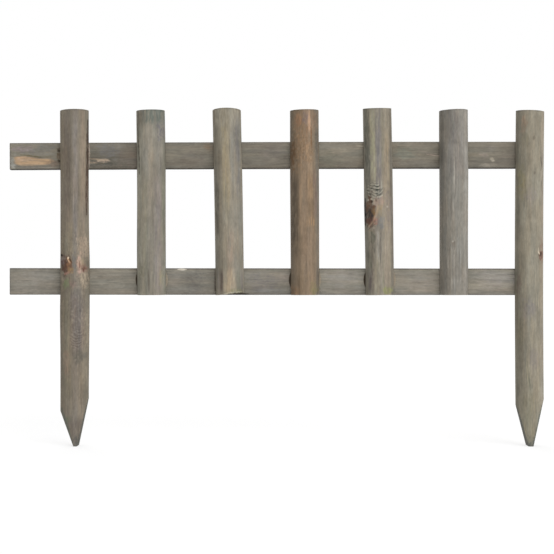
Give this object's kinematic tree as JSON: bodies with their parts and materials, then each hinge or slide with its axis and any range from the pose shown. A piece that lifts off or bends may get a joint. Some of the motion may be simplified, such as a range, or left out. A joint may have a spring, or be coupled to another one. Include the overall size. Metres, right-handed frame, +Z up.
{
  "type": "garden edging panel",
  "caption": "Low wooden edging panel: half-round pickets on two flat rails, with a pointed stake at each end to push into the soil beside a bed or lawn.",
  "frame": {"origin": "middle of the left stake's flat sawn tip", "axes": "+X along the panel from the left stake to the right one, +Y from the half-round fronts to the rails' backs, +Z up"},
  "size_m": [1.1204, 0.0464, 0.705],
  "materials": {
    "upright_wood": "weathered, treated softwood, greyed, with open grain along the upright",
    "rail_wood": "weathered, treated softwood, greyed, with open grain along the rail"
  },
  "bodies": {
    "root": {"left_stake": "upright_wood", "picket_1": "upright_wood", "picket_2": "upright_wood", "picket_3": "upright_wood", "picket_4": "upright_wood", "picket_5": "upright_wood", "right_stake": "upright_wood", "upper_rail": "rail_wood", "lower_rail": "rail_wood"}
  },
  "joints": []
}
